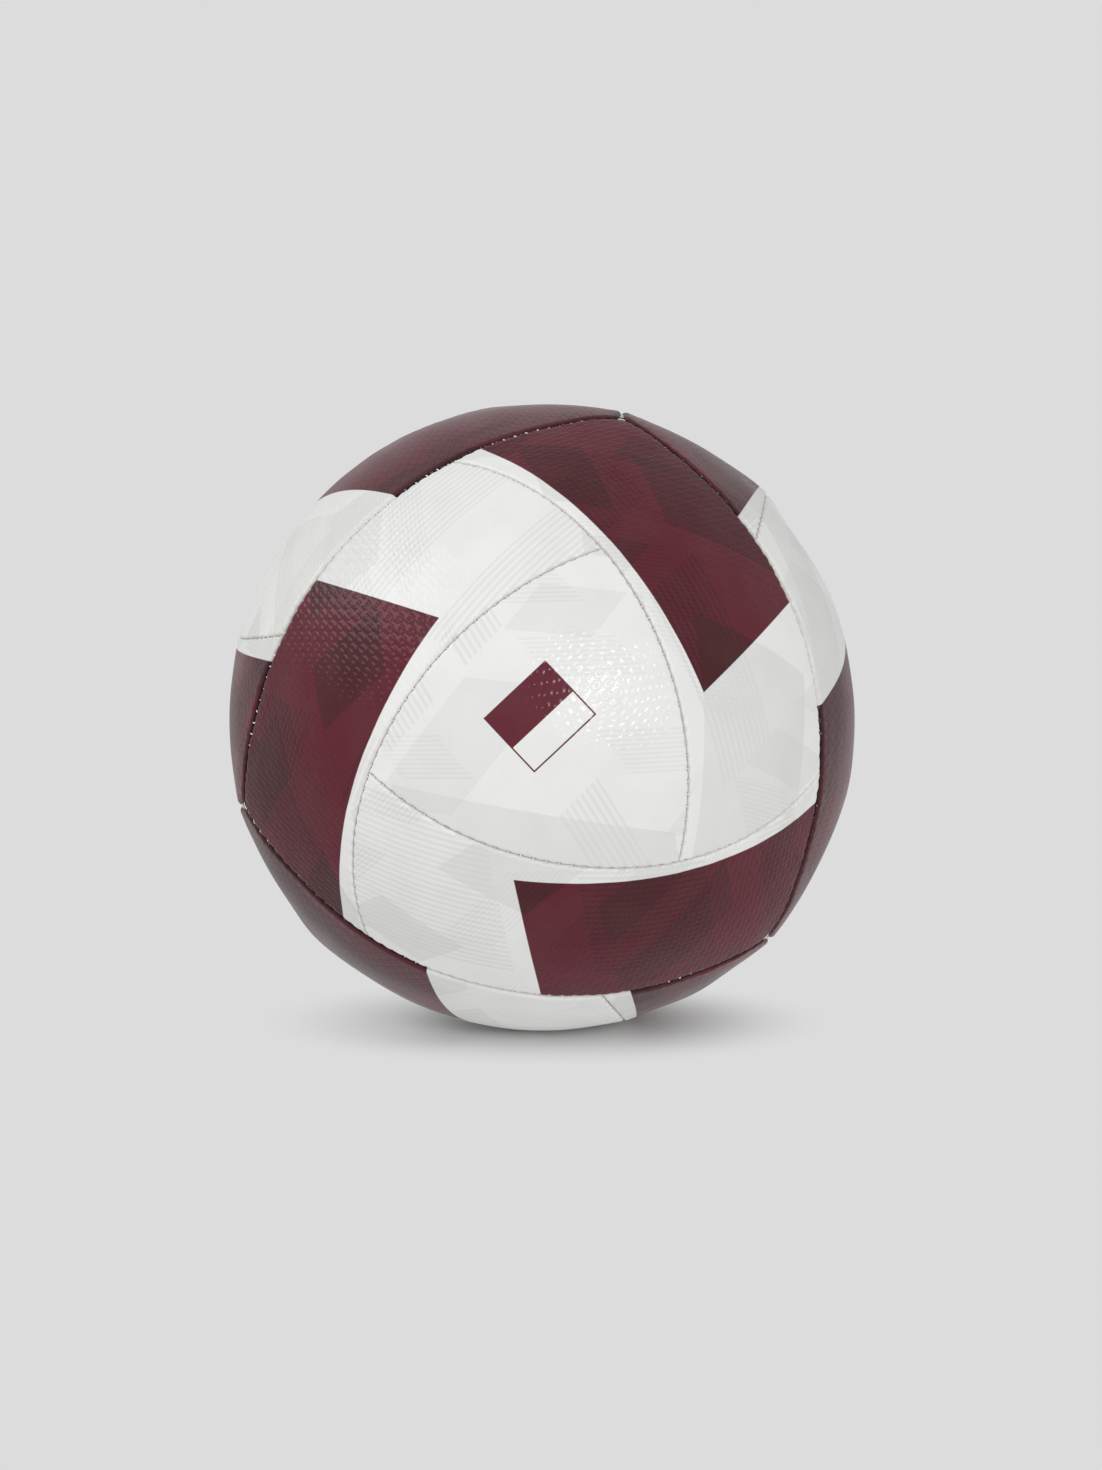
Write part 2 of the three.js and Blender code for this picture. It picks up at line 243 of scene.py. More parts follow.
def turn_between(pole, first, second):
    """The counterclockwise turn about pole from first to each row of second."""
    sine = np.cross(first, second) @ pole
    cosine = second @ first - (first @ pole) * (second @ pole)
    return np.arctan2(sine, cosine)


# Seams. A side of a panel is a circle on the ball, with the panel on the pole's side of it.

class Side:
    def __init__(self, pole, angle, seam_start, sewing):
        self.pole = pole
        self.angle = angle
        self.seam_start = seam_start
        self.sewing = sewing

    def inwards(self, points):
        """Distance of points from the seam, along the ball."""
        return (self.angle - angles_from(points, self.pole)) * CROWN_RADIUS

    def along(self, points):
        """Distance of points along the seam, from where its stitches start."""
        turn = turn_between(self.pole, self.seam_start, points)
        return turn * sin(self.angle) * CROWN_RADIUS


def meeting(pole, angle, next_pole, next_angle):
    """The point where one side hands over to the next."""
    dot = pole @ next_pole
    across = np.cross(pole, next_pole)
    cos_side = cos(angle)
    cos_next = cos(next_angle)
    point = (pole * (cos_side - dot * cos_next) + next_pole * (cos_next - dot * cos_side)) / (1 - dot ** 2)
    return point + across * sqrt((1 - point @ point) / (across @ across))


CORNERS = [direction(CORNER_POLAR, FIRST_CORNER + k * THIRD_TURN) for k in range(3)]


def arc_pole(k):
    return direction(ARC_TILT, FIRST_ARC + k * THIRD_TURN)


def edge_pole(k):
    return unit(np.cross(CORNERS[k], CORNERS[(k + 1) % 3]))


def arc_start(k):
    return meeting(arc_pole(k - 1), ARC_RADIUS, arc_pole(k), ARC_RADIUS)


def arc_end(k):
    return meeting(edge_pole(k), pi / 2, -arc_pole(k), pi - ARC_RADIUS)


class Sewing:
    """A kind of seam: where it runs on a panel, the gap between its edges, the rounding of each, how much
    wider a stitch draws it, and how deep and how long the stitches lie in it."""

    def __init__(self, pole, start, end, gap, fold, pucker, sink, stitch_length):
        self.pole = pole
        self.start = start
        self.turn = turn_between(pole, start, end) % (2 * pi)
        length = CROWN_RADIUS * np.linalg.norm(np.cross(pole, start)) * self.turn
        self.stitches = round(length / STITCH_PITCH)
        self.pitch = length / self.stitches
        self.gap = gap
        self.fold = fold
        self.pucker = pucker
        self.sink = sink
        self.stitch_length = stitch_length


ARC_SEWING = Sewing(
    arc_pole(0), arc_start(0), arc_end(0),
    gap=0.06 * MM, fold=0.8 * MM, pucker=0.24 * MM, sink=1.05 * MM, stitch_length=1.2 * MM,
)
EDGE_SEWING = Sewing(
    edge_pole(0), CORNERS[0], CORNERS[1],
    gap=0.26 * MM, fold=1.3 * MM, pucker=0.4 * MM, sink=0.98 * MM, stitch_length=1.7 * MM,
)


def inside_arc(k):
    return Side(arc_pole(k), ARC_RADIUS, arc_start(k), ARC_SEWING)


def outside_arc(k):
    return Side(-arc_pole(k), pi - ARC_RADIUS, arc_start(k), ARC_SEWING)


def inside_edge(k):
    return Side(edge_pole(k), pi / 2, CORNERS[k], EDGE_SEWING)


# Panels

class Panel:
    """Sides in counterclockwise order from outside, with the number of coarse steps along each.
    Its rim has several fine steps to each coarse one."""

    def __init__(self, sides, step, fine):
        self.sides = sides
        self.fine = fine
        lengths = [self.span(i, 0)[1] * sin(side.angle) * CROWN_RADIUS for i, side in enumerate(sides)]
        if len(sides) == 4:
            lengths = [max(lengths[i], lengths[(i + 2) % 4]) for i in range(4)]
        self.steps = [round(length / step) for length in lengths]
        self.middle = unit(sum(self.span(i, 0)[0] for i in range(len(sides))))

    def span(self, i, inset):
        """Where a side starts, moved inwards by an angle, and its turn about its pole."""
        before = self.sides[i - 1]
        side = self.sides[i]
        after = self.sides[(i + 1) % len(self.sides)]
        start = meeting(before.pole, before.angle - inset, side.pole, side.angle - inset)
        end = meeting(side.pole, side.angle - inset, after.pole, after.angle - inset)
        return start, turn_between(side.pole, start, end) % (2 * pi)

    def rim(self, inset):
        """The outline moved inwards from the seams by a distance, as unit vectors."""
        rows = []
        for i, side in enumerate(self.sides):
            start, turn = self.span(i, inset / CROWN_RADIUS)
            count = self.steps[i] * self.fine
            rows.append(swept(start, side.pole, turn * np.arange(count) / count))
        return np.concatenate(rows)


def centre_panel(step, fine):
    return Panel([inside_arc(0), inside_arc(1), inside_arc(2)], step * fine, fine)


def blade_panel(step, fine):
    return Panel([inside_arc(2), inside_edge(2), inside_edge(0), outside_arc(0)], step * fine, fine)


def fill_four_sided(rim, steps):
    """Points inside a four-sided rim, blended between opposite sides, and the faces over them all."""
    across, along = steps[0], steps[1]
    count = len(rim)
    index = np.full((along + 1, across + 1), -1)
    index[0, :] = np.arange(across + 1)
    index[:, across] = across + np.arange(along + 1)
    index[along, ::-1] = across + along + np.arange(across + 1)
    index[1:, 0] = count - np.arange(1, along + 1)
    inner = index < 0
    u = (np.arange(across + 1) / across)[None, :, None]
    v = (np.arange(along + 1) / along)[:, None, None]
    low, high = rim[index[0]][None], rim[index[along]][None]
    left, right = rim[index[:, 0]][:, None], rim[index[:, across]][:, None]
    grid = (1 - v) * low + v * high + (1 - u) * left + u * right
    grid = grid - (1 - v) * ((1 - u) * rim[index[0, 0]] + u * rim[index[0, across]])
    grid = grid - v * ((1 - u) * rim[index[along, 0]] + u * rim[index[along, across]])
    index[inner] = count + np.arange(inner.sum())
    corners = [index[:-1, :-1], index[:-1, 1:], index[1:, 1:], index[1:, :-1]]
    faces = np.stack([corner.ravel() for corner in corners], axis=1)
    return unit(grid[inner]), faces.tolist()


def fill_three_sided(rim, steps):
    """The same inside a three-sided rim. A point is known by its steps towards the three corners."""
    n = steps[0]
    count = len(rim)
    index = {}
    inner = []
    for a in range(n + 1):
        for b in range(n + 1 - a):
            c = n - a - b
            if c == 0:
                index[a, b] = b
            elif a == 0:
                index[a, b] = n + c
            elif b == 0:
                index[a, b] = (2 * n + a) % count
            else:
                index[a, b] = count + len(inner)
                inner.append((a, b, c))
    a, b, c = np.array(inner).T
    points = a[:, None] * (rim[b] + rim[(3 * n - c) % count] - rim[0])
    points = points + b[:, None] * (rim[n + c] + rim[n - a] - rim[n])
    points = points + c[:, None] * (rim[(2 * n + a) % count] + rim[2 * n - b] - rim[2 * n])
    faces = []
    for a in range(n):
        for b in range(n - a):
            faces.append([index[a + 1, b], index[a, b + 1], index[a, b]])
            if a + b < n - 1:
                faces.append([index[a, b + 1], index[a + 1, b], index[a + 1, b + 1]])
    return unit(points), faces


def stepped_down(fine_first, coarse_first, coarse_count, fine):
    """Faces between a loop of fine steps and the loop of coarse steps inside it."""
    faces = []
    fine_count = coarse_count * fine
    half = (fine + 1) // 2
    for i in range(coarse_count):
        here = coarse_first + i
        onward = coarse_first + (i + 1) % coarse_count
        outer = [fine_first + (fine * i + j) % fine_count for j in range(fine + 1)]
        for j in range(fine):
            faces.append([outer[j], outer[j + 1], here if j < half else onward])
        faces.append([outer[half], onward, here])
    return faces


def panel_mesh(panel, loops, underside, outside):
    """A closed solid over a panel. Its loops run from the edge of its underside, round its rim, to the
    edge of its outside. Each is an inset and a radius at each point, and so are the underside and the
    outside, which start at their insets with coarse steps. Gives directions, radii and faces."""
    fill = fill_four_sided if len(panel.sides) == 4 else fill_three_sided
    rims = [panel.rim(inset) for inset, _ in loops]
    count = len(rims[0])
    directions = list(rims)
    radii = [radius(rim) for (_, radius), rim in zip(loops, rims)]
    faces = []
    steps = np.arange(count)
    onward = (steps + 1) % count
    for level in range(1, len(rims)):
        low = (level - 1) * count
        high = level * count
        faces += np.stack([low + steps, low + onward, high + onward, high + steps], axis=1).tolist()
    total = count * len(rims)
    for level, (inset, radius), flip in ((0, underside, True), (len(rims) - 1, outside, False)):
        coarse = panel.rim(inset)[::panel.fine]
        inner, cap_faces = fill(coarse, panel.steps)
        points = np.concatenate([coarse, inner])
        directions.append(points)
        radii.append(radius(points))
        cap_faces = [[total + i for i in face] for face in cap_faces]
        cap_faces += stepped_down(level * count, total, len(coarse), panel.fine)
        faces += [face[::-1] for face in cap_faces] if flip else cap_faces
        total += len(points)
    return np.concatenate(directions), np.concatenate(radii), faces


def even(radius):
    """The same radius at every point."""
    return lambda points: np.full(len(points), radius)


# The outside of the cover

def waves(points, length, seed):
    """Smooth unevenness between about -1 and 1, with humps of about the given length."""
    rng = np.random.default_rng(seed)
    facing = unit(rng.normal(size=(WAVE_COUNT, 3)))
    stretch = rng.uniform(*WAVE_STRETCH, size=WAVE_COUNT)
    start = rng.uniform(0, 2 * pi, size=WAVE_COUNT)
    return np.sin(2 * pi / length * (points @ facing.T) * stretch + start).mean(axis=1) * WAVE_GAIN


def bulges(placed):
    """How far the lying ball stands out of round, at unit vectors."""
    height = np.zeros(len(placed))
    for angle, bulge in BULGES.items():
        side, up = cos(radians(angle)), sin(radians(angle))
        facing = np.array([side, up * sin(OUTLINE_TILT), up * cos(OUTLINE_TILT)])
        height += bulge * MM * np.exp(-((off_axis(placed, facing) / BULGE_SPREAD) ** 2))
    return height


def from_corner(points):
    return np.arccos(np.clip(np.max(points @ np.array(CORNERS).T, axis=1), -1, 1)) * CROWN_RADIUS


def corner_rise(points):
    return CORNER_RISE * np.exp(-((from_corner(points) / CORNER_SPREAD) ** 2))


def plain_radius(panel, points):
    """The pumped-up cover before its edges are rounded."""
    insets = np.stack([np.maximum(side.inwards(points), LEAST_INSET) for side in panel.sides], axis=1)
    nearest = (insets ** -INSET_BLEND).sum(axis=1) ** (-1 / INSET_BLEND)
    nearness = np.maximum(0, 1 - nearest / SEAM_REACH)
    return CROWN_RADIUS + corner_rise(points) + SEAM_RISE * nearness ** 2


def rounding(inset, fold):
    """How far a folded edge drops at a distance from where the fold ends."""
    share = np.clip(inset / fold, 0, 1)
    return fold * (1 - np.sqrt(1 - (1 - share) ** 2)) + FLANK_SLOPE * np.maximum(-inset, 0)


def cover_radius(panel, points, turn, seed):
    """The outside of a sewn panel: pillowed, uneven, rounded at its seams and drawn in at each stitch."""
    placed = points @ turn.T
    radius = plain_radius(panel, points) + bulges(placed)
    radius += SWELL_HEIGHT * waves(placed * CROWN_RADIUS, SWELL_LENGTH, SWELL_SEED)
    drop = np.zeros(len(points))
    opening = CORNER_OPENING * np.exp(-((from_corner(points) / CORNER_OPENING_REACH) ** 2))
    for number, side in enumerate(panel.sides):
        inset = side.inwards(points)
        along = side.along(points)
        zero = np.zeros_like(along)
        side_seed = SEEDS_PER_PANEL * seed + number
        crinkle = waves(np.stack([along, zero, zero], axis=1), CRINKLE_LENGTH, CRINKLE_SEED + side_seed)
        radius += CRINKLE_HEIGHT * crinkle * np.exp(-inset / CRINKLE_REACH)
        sewing = side.sewing
        if sewing is EDGE_SEWING:
            lengthwise = np.stack([inset, along / CREASE_STRETCH, zero], axis=1)
            crease = waves(lengthwise, CREASE_WIDTH, CREASE_SEED + side_seed)
            radius += CREASE_HEIGHT * crease * np.exp(-inset / CREASE_REACH)
        drawn = (0.5 - 0.5 * np.cos(2 * pi * along / sewing.pitch)) ** 2
        radius -= DIMPLE_DEPTH * drawn * np.exp(-inset / DIMPLE_REACH)
        pucker = sewing.pucker * (1 + PUCKER_VARIATION * crinkle) * drawn
        pulled = inset - sewing.gap / 2 - pucker * np.exp(-inset / PUCKER_REACH) - opening
        drop = np.maximum(drop, rounding(pulled, sewing.fold))
    return radius - drop


# Objects

def add_plain(name, points, edges, faces):
    mesh = bpy.data.meshes.new(f"finished_{name}")
    mesh.from_pydata(points.tolist(), edges, faces)
    made = bpy.data.objects.new(f"finished_{name}", mesh)
    bpy.context.scene.collection.objects.link(made)
    return made


def add_object(name, points, faces, material):
    made = add_plain(name, points, [], faces)
    made.data.shade_smooth()
    made.data.materials.append(material)
    return made


def add_plane(mesh, plane):
    """Lays a flat position in metres for each vertex on the faces' corners."""
    corners = np.empty(len(mesh.loops), dtype=np.int32)
    mesh.loops.foreach_get("vertex_index", corners)
    layer = mesh.uv_layers.new(name="panel")
    layer.data.foreach_set("uv", plane[corners].astype(np.float32).ravel())


def add_values(mesh, name, values):
    layer = mesh.attributes.new(name, "FLOAT", "POINT")
    layer.data.foreach_set("value", values.astype(np.float32))


def settle(made, node):
    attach(made, "root")
    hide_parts(node)


# Material helpers

def srgb(red, green, blue):
    def linear(value):
        share = value / 255
        return share / 12.92 if share <= 0.04045 else ((share + 0.055) / 1.055) ** 2.4
    return (linear(red), linear(green), linear(blue), 1)


def new_material(name):
    material = bpy.data.materials.new(name)
    material.use_nodes = True
    tree = material.node_tree
    shader = tree.nodes["Principled BSDF"]
    return material, tree, shader


def feed(tree, node, inputs):
    """Sets or links a node's inputs, each by its name or number."""
    for name, value in inputs.items():
        if isinstance(value, bpy.types.NodeSocket):
            tree.links.new(value, node.inputs[name])
        else:
            node.inputs[name].default_value = value


def add_node(tree, kind, inputs, **settings):
    """Adds a node with its settings and inputs, and gives its outputs."""
    node = tree.nodes.new(kind)
    for name, value in settings.items():
        setattr(node, name, value)
    feed(tree, node, inputs)
    return node.outputs


def calc(tree, operation, *values, clamp=False):
    return add_node(tree, "ShaderNodeMath", dict(enumerate(values)), operation=operation, use_clamp=clamp)[0]


def vector_calc(tree, operation, *values, output="Vector"):
    return add_node(tree, "ShaderNodeVectorMath", dict(enumerate(values)), operation=operation)[output]


def ramp(tree, value, low, high, to_low=0.0, to_high=1.0):
    inputs = {"Value": value, "From Min": low, "From Max": high, "To Min": to_low, "To Max": to_high}
    return add_node(tree, "ShaderNodeMapRange", inputs, interpolation_type="SMOOTHSTEP")["Result"]


def mixed(tree, share, first, second):
    """Two colours mixed. The sockets for colours go by their numbers."""
    return add_node(tree, "ShaderNodeMix", {0: share, 6: first, 7: second}, data_type="RGBA")[2]


def noise(tree, where, scale, detail=2.0):
    return add_node(tree, "ShaderNodeTexNoise", {"Vector": where, "Scale": scale, "Detail": detail})["Fac"]


def laid(tree, where, angle=0.0, scale=(1, 1, 1)):
    """A position turned and stretched before a pattern reads it."""
    laying = {"Vector": where, "Rotation": (0, 0, angle), "Scale": scale}
    return add_node(tree, "ShaderNodeMapping", laying)["Vector"]


def relief(tree, height, depth):
    return add_node(tree, "ShaderNodeBump", {"Distance": depth, "Height": height})["Normal"]


def attribute(tree, name):
    return add_node(tree, "ShaderNodeAttribute", {}, attribute_name=name)["Fac"]


def panel_plane(tree):
    return add_node(tree, "ShaderNodeUVMap", {}, uv_map="panel")["UV"]


def object_place(tree):
    return add_node(tree, "ShaderNodeTexCoord", {})["Object"]


def light_path(tree):
    return add_node(tree, "ShaderNodeLightPath", {})


# Cover finish: coated leather stamped with rows of small rings, with painted shade deep in its seam grooves

COVER_WHITE = srgb(228, 228, 226)
COVER_WHITE_TONE = srgb(214, 214, 213)
COVER_MAROON = srgb(90, 28, 42)
COVER_MAROON_TONE = srgb(66, 27, 32)
# Painted shade deep in the seam grooves, with a little dirt on the white. Between the two depths below, the
# cover takes on these colours the deeper it lies under its surface, turning near black on maroon.
WHITE_GROOVE_SHADE_AND_DIRT = srgb(222, 218, 211)
MAROON_GROOVE_SHADE = srgb(22, 12, 13)
GROOVE_SHADE_START = 0.2 * MM
GROOVE_SHADE_DEPTH = 0.75 * MM
STAMP_PITCH = 2.65 * MM
STAMP_HEIGHT = 0.07 * MM
UNDER_COAT_SHARE = 0.16
STAMP_LEAN = radians(34.3)
RING_LENGTH = 1.6 * MM
RING_WIDTH = 1.2 * MM
CENTRE_RIB_SHARE = 0.1
BLADE_RIB_SHARE = 0.3
CENTRE_STAMP_TURN = radians(58.5)
BLADE_STAMP_TURN = radians(40)
COVER_SPECULAR = 0.06
COAT_WEIGHT = 0.3
COAT_ROUGHNESS = 0.13
RUBBING_SCALE = 90
RUBBING_DETAIL = 4.0
RUBBING_RANGE = (0.3, 0.7)
RUBBED_ROUGHNESS = (0.36, 0.46)
DIRT = srgb(120, 112, 104)
DIRT_RANGE = (0.35, 0.75)
DIRT_SHARE = 0.05

# The print: each layer's angle, the skew between its two sets of bands, the width of each, where they
# start, how strongly it prints, and the pitch of its pinstripes if it has them
PRINT_LAYERS = [
    (0.45, 1.2, (15 * MM, 20 * MM), 3.3, 0.7, None),
    (1.72, 1.0, (11 * MM, 17 * MM), 17.1, 0.5, None),
    (2.65, 1.3, (16 * MM, 14 * MM), 29.7, 0.6, 1.5 * MM),
    (0.95, 0.9, (12 * MM, 10 * MM), 41.3, 0.4, 1.0 * MM),
]
SECOND_BANDS_START = 7.7
BAND_THRESHOLD = 0.48
PINSTRIPE_SOFTNESS = 0.3
PRINT_EDGE = 0.12 * MM


def stamped_rings(tree, plane, angle, rib_share):
    """Height of shallow oval rings, in rows that cross at twice STAMP_LEAN, with low ribs between."""
    cosine = cos(STAMP_LEAN)
    sine = sin(STAMP_LEAN)
    made_square = (sqrt(0.5) / cosine, sqrt(0.5) / sine, 1)
    crossing_rows = laid(tree, laid(tree, plane, -angle), radians(45), made_square)
    half = (STAMP_PITCH / 2, STAMP_PITCH / 2, 0)
    minus_half = (-STAMP_PITCH / 2, -STAMP_PITCH / 2, 0)
    from_middle = vector_calc(tree, "WRAP", crossing_rows, half, minus_half)
    along = vector_calc(tree, "DOT_PRODUCT", from_middle, (cosine, cosine, 0), output="Value")
    across = vector_calc(tree, "DOT_PRODUCT", from_middle, (-sine, sine, 0), output="Value")
    along_share = calc(tree, "DIVIDE", along, RING_LENGTH / 2)
    across_share = calc(tree, "DIVIDE", across, RING_WIDTH / 2)
    squared = calc(tree, "MULTIPLY_ADD", along_share, along_share, calc(tree, "POWER", across_share, 2.0))
    off_ring = calc(tree, "ABSOLUTE", calc(tree, "SUBTRACT", calc(tree, "SQRT", squared), 1.0))
    between = calc(tree, "COSINE", calc(tree, "DIVIDE", across, STAMP_PITCH * sine / (2 * pi)))
    return calc(tree, "MULTIPLY_ADD", between, -rib_share, ramp(tree, off_ring, 1.0, 0.0))


def bands(tree, plane, angle, width, start):
    """Straight bands of uneven width across a direction, each 0 or 1, and the position across them."""
    facing = (cos(angle), sin(angle), 0)
    position = vector_calc(tree, "DOT_PRODUCT", plane, facing, output="Value")
    counted = calc(tree, "MULTIPLY_ADD", position, 1 / width, start)
    cells = add_node(tree, "ShaderNodeTexVoronoi", {"W": counted, "Scale": 1.0}, voronoi_dimensions="1D")
    return calc(tree, "GREATER_THAN", cells["Color"], BAND_THRESHOLD), position


def patches(tree, plane, angle, skew, widths, start):
    """Straight-edged patches where two sets of bands cross, and the position across them."""
    first, _ = bands(tree, plane, angle, widths[0], start)
    second, position = bands(tree, plane, angle + skew, widths[1], start + SECOND_BANDS_START)
    return calc(tree, "MULTIPLY", first, second), position


def pinstriped(tree, area, position, pitch):
    stripes = calc(tree, "SINE", calc(tree, "MULTIPLY", position, 2 * pi / pitch))
    return calc(tree, "MULTIPLY", area, ramp(tree, stripes, -PINSTRIPE_SOFTNESS, PINSTRIPE_SOFTNESS))


def tone_print(tree, plane):
    """A tone-on-tone print of crossing straight patches, some of them pinstriped, from 0 to 1."""
    total = 0.0
    for angle, skew, widths, start, strength, pinstripe in PRINT_LAYERS:
        area, position = patches(tree, plane, angle, skew, widths, start)
        if pinstripe:
            area = pinstriped(tree, area, position, pinstripe)
        total = calc(tree, "MULTIPLY_ADD", area, strength, total, clamp=True)
    return total


def cover_finish(tree, shader, plane, colour, groove_shade_and_dirt, stamp_turn, rib_share):
    """Gloss, stamped texture, slight dirt, and painted shade (with a little dirt on white) deep in the seam
    grooves, over a printed colour.
    """
    rings = stamped_rings(tree, plane, stamp_turn, rib_share)
    rubbed = noise(tree, plane, RUBBING_SCALE, RUBBING_DETAIL)
    dulled = calc(tree, "MULTIPLY", ramp(tree, rubbed, *DIRT_RANGE), DIRT_SHARE)
    # Painted shade, with a little dirt on white, that grows with how far the cover lies below its surface
    groove_shade_and_dirt_share = ramp(tree, attribute(tree, "sunk"), GROOVE_SHADE_START, GROOVE_SHADE_DEPTH)
    feed(tree, shader, {
        "Base Color": mixed(tree, groove_shade_and_dirt_share, mixed(tree, dulled, colour, DIRT), groove_shade_and_dirt),
        "Roughness": ramp(tree, rubbed, *RUBBING_RANGE, *RUBBED_ROUGHNESS),
        "Specular IOR Level": COVER_SPECULAR,
        "Normal": relief(tree, rings, STAMP_HEIGHT * UNDER_COAT_SHARE),
        "Coat Weight": COAT_WEIGHT,
        "Coat Roughness": COAT_ROUGHNESS,
        "Coat Normal": relief(tree, rings, STAMP_HEIGHT),
    })


def white_print(tree, plane):
    return mixed(tree, tone_print(tree, plane), COVER_WHITE, COVER_WHITE_TONE)


def blade_cover_material():
    material, tree, shader = new_material("maroon_and_white_cover")
    plane = panel_plane(tree)
    maroon = mixed(tree, tone_print(tree, plane), COVER_MAROON, COVER_MAROON_TONE)
    past_strip = ramp(tree, attribute(tree, "past_strip"), -PRINT_EDGE, PRINT_EDGE)
    past_cut = ramp(tree, attribute(tree, "past_cut"), -PRINT_EDGE, PRINT_EDGE)
    field = calc(tree, "MULTIPLY", past_strip, past_cut)
    colour = mixed(tree, field, white_print(tree, plane), maroon)
    # Painted shade for the grooves: near black on maroon, and a faint warm grey of shade and dirt on white
    groove_shade_and_dirt = mixed(tree, field, WHITE_GROOVE_SHADE_AND_DIRT, MAROON_GROOVE_SHADE)
    cover_finish(tree, shader, plane, colour, groove_shade_and_dirt, BLADE_STAMP_TURN, BLADE_RIB_SHARE)
    return material


# The printed block on the front panel: a maroon and a white part inside a thin outline
LABEL_MIDDLE = (-3.03 * MM, 2.06 * MM, 0)
LABEL_TURN = radians(59.5) + ARC_TURN
LABEL_LENGTH = 17.75 * MM
LABEL_WIDTH = 15.5 * MM
LABEL_LINE = 0.35 * MM
LABEL_MAROON_SHARE = 0.56
LABEL_EDGE = 0.08 * MM
LABEL_INK = srgb(95, 34, 47)


def label_ink(tree, plane):
    moved = vector_calc(tree, "SUBTRACT", plane, LABEL_MIDDLE)
    parts = add_node(tree, "ShaderNodeSeparateXYZ", {0: laid(tree, moved, -LABEL_TURN)})
    along, across = parts[0], parts[1]
    end_room = calc(tree, "SUBTRACT", LABEL_LENGTH / 2, calc(tree, "ABSOLUTE", along))
    side_room = calc(tree, "SUBTRACT", LABEL_WIDTH / 2, calc(tree, "ABSOLUTE", across))
    room = calc(tree, "MINIMUM", end_room, side_room)
    inside = ramp(tree, room, -LABEL_EDGE, LABEL_EDGE)
    within_line = ramp(tree, room, LABEL_LINE - LABEL_EDGE, LABEL_LINE + LABEL_EDGE)
    divide = LABEL_WIDTH * (LABEL_MAROON_SHARE - 0.5)
    pale_part = ramp(tree, across, -divide - LABEL_EDGE, -divide + LABEL_EDGE, 1.0, 0.0)
    return calc(tree, "SUBTRACT", inside, calc(tree, "MULTIPLY", within_line, pale_part))


def centre_cover_material(name, labelled=False):
    material, tree, shader = new_material(name)
    plane = panel_plane(tree)
    colour = white_print(tree, plane)
    if labelled:
        colour = mixed(tree, label_ink(tree, plane), colour, LABEL_INK)
    # Painted shade, with a little dirt, in the white cover's seam grooves
    cover_finish(tree, shader, plane, colour, WHITE_GROOVE_SHADE_AND_DIRT, CENTRE_STAMP_TURN, CENTRE_RIB_SHARE)
    return material


# Other finishes: how fine the grain of each is, its shades, its roughness and its relief

THREAD_STRANDS = 5200
THREAD_SHADES = (srgb(226, 225, 220), srgb(244, 243, 240))
THREAD_ROUGHNESS = 0.75
THREAD_SHEEN = 0.2
THREAD_RELIEF = 0.05 * MM
FOAM_PORES = 1500
FOAM_SHADES = (srgb(204, 199, 184), srgb(226, 222, 210))
FOAM_ROUGHNESS = 0.95
FOAM_RELIEF = 0.3 * MM
CLOTH_WEAVE = 420
CLOTH_SHADES = (srgb(182, 176, 160), srgb(214, 209, 196))
CLOTH_ROUGHNESS = 0.9
CLOTH_RELIEF = 0.15 * MM
CLOTH_UNEVENNESS = 0.4
RUBBER_GRAIN = 2400
RUBBER_RELIEF = 0.06 * MM
BLOOM_SCALE = 160
BLOOM_DETAIL = 4.0
BLOOM_RANGE = (0.3, 0.7)
BLOOM_ROUGHNESS = 0.08
VALVE_SHADES = (srgb(36, 36, 38), srgb(52, 52, 54))
VALVE_ROUGHNESS = 0.55
BLADDER_SHADES = (srgb(26, 26, 28), srgb(40, 40, 42))
BLADDER_ROUGHNESS = 0.6


def grained(tree, shader, grain, shades, roughness, depth):
    """A matt finish, coloured between two shades and raised by its grain."""
    colour = mixed(tree, grain, *shades)
    feed(tree, shader, {"Base Color": colour, "Roughness": roughness, "Normal": relief(tree, grain, depth)})


def thread_material():
    material, tree, shader = new_material("sewing_thread")
    strands = noise(tree, object_place(tree), THREAD_STRANDS)
    grained(tree, shader, strands, THREAD_SHADES, THREAD_ROUGHNESS, THREAD_RELIEF)
    feed(tree, shader, {"Sheen Weight": THREAD_SHEEN})
    return material


def foam_material():
    material, tree, shader = new_material("foam_backing")
    cells = add_node(tree, "ShaderNodeTexVoronoi", {"Vector": object_place(tree), "Scale": FOAM_PORES})
    grained(tree, shader, cells["Distance"], FOAM_SHADES, FOAM_ROUGHNESS, FOAM_RELIEF)
    return material


def rubber_material(name, shades, roughness):
    material, tree, shader = new_material(name)
    place = object_place(tree)
    bloom = noise(tree, place, BLOOM_SCALE, BLOOM_DETAIL)
    spread = (roughness - BLOOM_ROUGHNESS, roughness + BLOOM_ROUGHNESS)
    feed(tree, shader, {
        "Base Color": mixed(tree, bloom, *shades),
        "Roughness": ramp(tree, bloom, *BLOOM_RANGE, *spread),
        "Normal": relief(tree, noise(tree, place, RUBBER_GRAIN), RUBBER_RELIEF),
    })
    return material


def cloth_material():
    material, tree, shader = new_material("patch_cloth")
    weaving = {"Vector": object_place(tree), "Scale": CLOTH_WEAVE, "Distortion": CLOTH_UNEVENNESS}
    warp = add_node(tree, "ShaderNodeTexWave", weaving)
    weft = add_node(tree, "ShaderNodeTexWave", weaving, bands_direction="Y")
    weave = calc(tree, "MULTIPLY", warp["Fac"], weft["Fac"])
    grained(tree, shader, weave, CLOTH_SHADES, CLOTH_ROUGHNESS, CLOTH_RELIEF)
    return material


# Pieces of the cover

